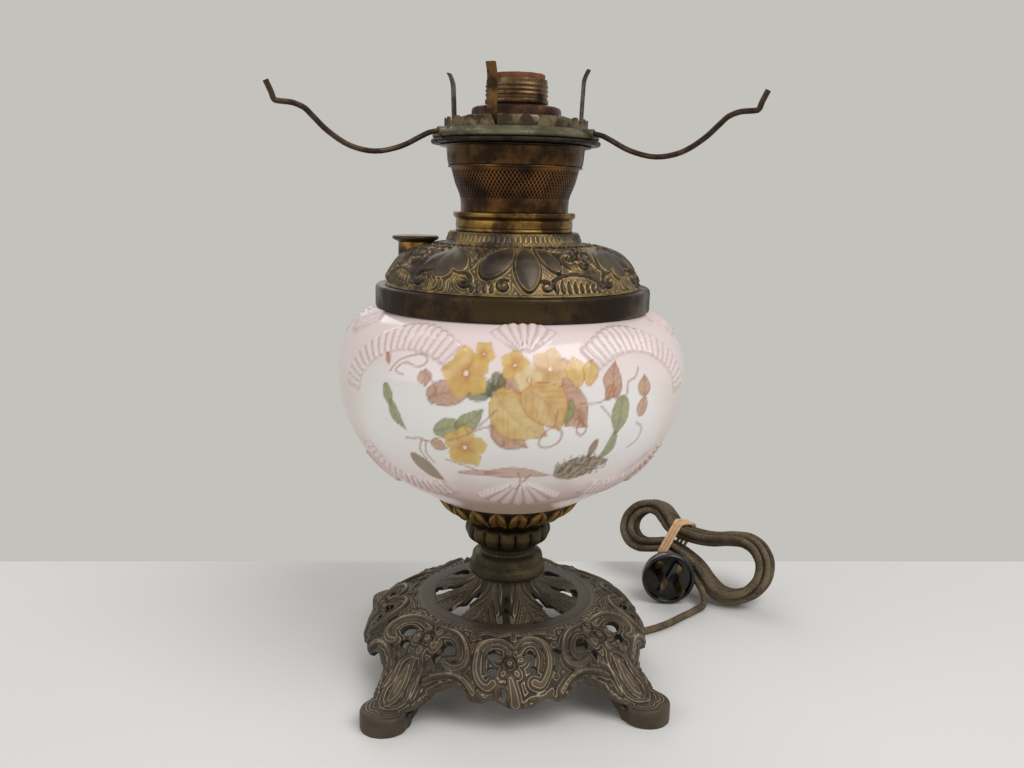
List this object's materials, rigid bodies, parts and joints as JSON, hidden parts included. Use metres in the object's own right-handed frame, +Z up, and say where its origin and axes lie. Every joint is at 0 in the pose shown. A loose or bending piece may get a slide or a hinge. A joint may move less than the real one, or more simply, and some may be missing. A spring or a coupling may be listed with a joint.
{
  "type": "parlor lamp",
  "caption": "Oil parlor lamp with a moulded glass body on a pierced cast base, burner with prongs and shade tripod, wired for a bulb, its cord in a tied hank.",
  "frame": {"origin": "on the floor under the middle of the lamp's box, its cord left out", "axes": "+Z up, -Y towards the front, +X to the lamp's right as seen from the front; the lamp's axis stands at y -0.0196"},
  "size_m": [0.2945, 0.2446, 0.3294],
  "materials": {
    "cast_bronze": "rough cast, darkened",
    "olive_brass": "dull, spotted",
    "gold_brass": "cast, worn gilt",
    "pink_glass": "glossy opal, shaded pink, printed",
    "dark_brass": "darkened, worn",
    "crown_bronze": "embossed, darkened",
    "brown_brass": "browned",
    "pale_tin": "dull, stained",
    "copper": "browned copper",
    "aged_brass": "aged",
    "steel": "zinc plated",
    "fibre": "vulcanised fibre",
    "porcelain": "glazed",
    "felt": "felt",
    "cord_cover": "woven cover",
    "plug_black": "moulded phenolic",
    "tie_rubber": "matt"
  },
  "bodies": {
    "lamp_body": {"base_casting": "cast_bronze", "tie_rod": "steel", "base_washer": "steel", "base_nut": "steel", "cord_bush": "fibre", "stem_flange": "olive_brass", "stem_knop": "olive_brass", "leaf_cup": "gold_brass", "glass_body": "pink_glass", "glass_cushion": "felt", "glass_plate": "steel", "rod_nut": "steel", "rim_band": "dark_brass", "crown_shell": "crown_bronze", "oil_font": "brown_brass", "draft_tube": "brown_brass", "collar": "gold_brass", "filler_neck": "gold_brass", "adapter_disc": "copper", "socket_nipple": "steel", "socket_cap": "aged_brass", "socket_insulator": "porcelain", "socket_liner": "fibre", "socket_shell": "aged_brass", "screw_shell": "aged_brass", "centre_contact": "aged_brass", "terminal_screw_1": "aged_brass", "terminal_screw_2": "aged_brass", "inner_cord": "cord_cover", "cord_lead": "cord_cover", "cord_hank": "cord_cover", "hank_tie": "tie_rubber", "cord_tail": "cord_cover", "plug_body": "plug_black", "plug_blade_1": "aged_brass", "plug_blade_2": "aged_brass", "plug_screw_1": "aged_brass", "plug_screw_2": "aged_brass"},
    "burner": {"burner_basket": "brown_brass", "burner_shell": "brown_brass", "burner_disc": "dark_brass", "chimney_seat": "pale_tin", "coronet": "pale_tin"},
    "shade_holder": {"shade_ring": "pale_tin", "shade_arm_1": "dark_brass", "shade_arm_2": "dark_brass", "shade_arm_3": "dark_brass"},
    "prong_front": {"prong_1": "brown_brass"},
    "prong_right": {"prong_2": "brown_brass"},
    "prong_back": {"prong_3": "brown_brass"},
    "prong_left": {"prong_4": "brown_brass"},
    "filler_washer": {"filler_gasket": "felt"},
    "filler_cap": {"filler_cap": "dark_brass"}
  },
  "joints": [
    {"name": "burner_lift", "type": "slide", "parent": "lamp_body", "child": "burner", "axis": [0, 0, 1], "range_m": [0, 0.075]},
    {"name": "shade_holder_lift", "type": "slide", "parent": "burner", "child": "shade_holder", "axis": [0, 0, 1], "range_m": [0, 0.022]},
    {"name": "prong_front_flex", "type": "hinge", "parent": "burner", "child": "prong_front", "pos_m": [-0.01175, -0.05281, 0.2946], "axis": [0.9426, -0.3338, 0], "range_deg": [0, 2.5], "stiffness_Nm_per_rad": 0.1},
    {"name": "prong_right_flex", "type": "hinge", "parent": "burner", "child": "prong_right", "pos_m": [0.03318, -0.03138, 0.2946], "axis": [0.3338, 0.9426, 0], "range_deg": [0, 2.5], "stiffness_Nm_per_rad": 0.1},
    {"name": "prong_back_flex", "type": "hinge", "parent": "burner", "child": "prong_back", "pos_m": [0.01175, 0.01356, 0.2946], "axis": [-0.9426, 0.3338, 0], "range_deg": [0, 2.5], "stiffness_Nm_per_rad": 0.1},
    {"name": "prong_left_flex", "type": "hinge", "parent": "burner", "child": "prong_left", "pos_m": [-0.03318, -0.00788, 0.2946], "axis": [-0.3338, -0.9426, 0], "range_deg": [0, 2.5], "stiffness_Nm_per_rad": 0.1},
    {"name": "filler_cap_rise", "type": "slide", "parent": "lamp_body", "child": "filler_washer", "axis": [0, 0, 1], "range_m": [0, 0.003]},
    {"name": "filler_cap_turn", "type": "hinge", "parent": "filler_washer", "child": "filler_cap", "pos_m": [-0.0527, -0.01963, 0.242], "axis": [0, 0, 1], "range_deg": [0, 720]}
  ],
  "couplings": [
    {"joint": "filler_cap_rise", "follows": "filler_cap_turn", "m_per_rad": 0.00023873}
  ]
}
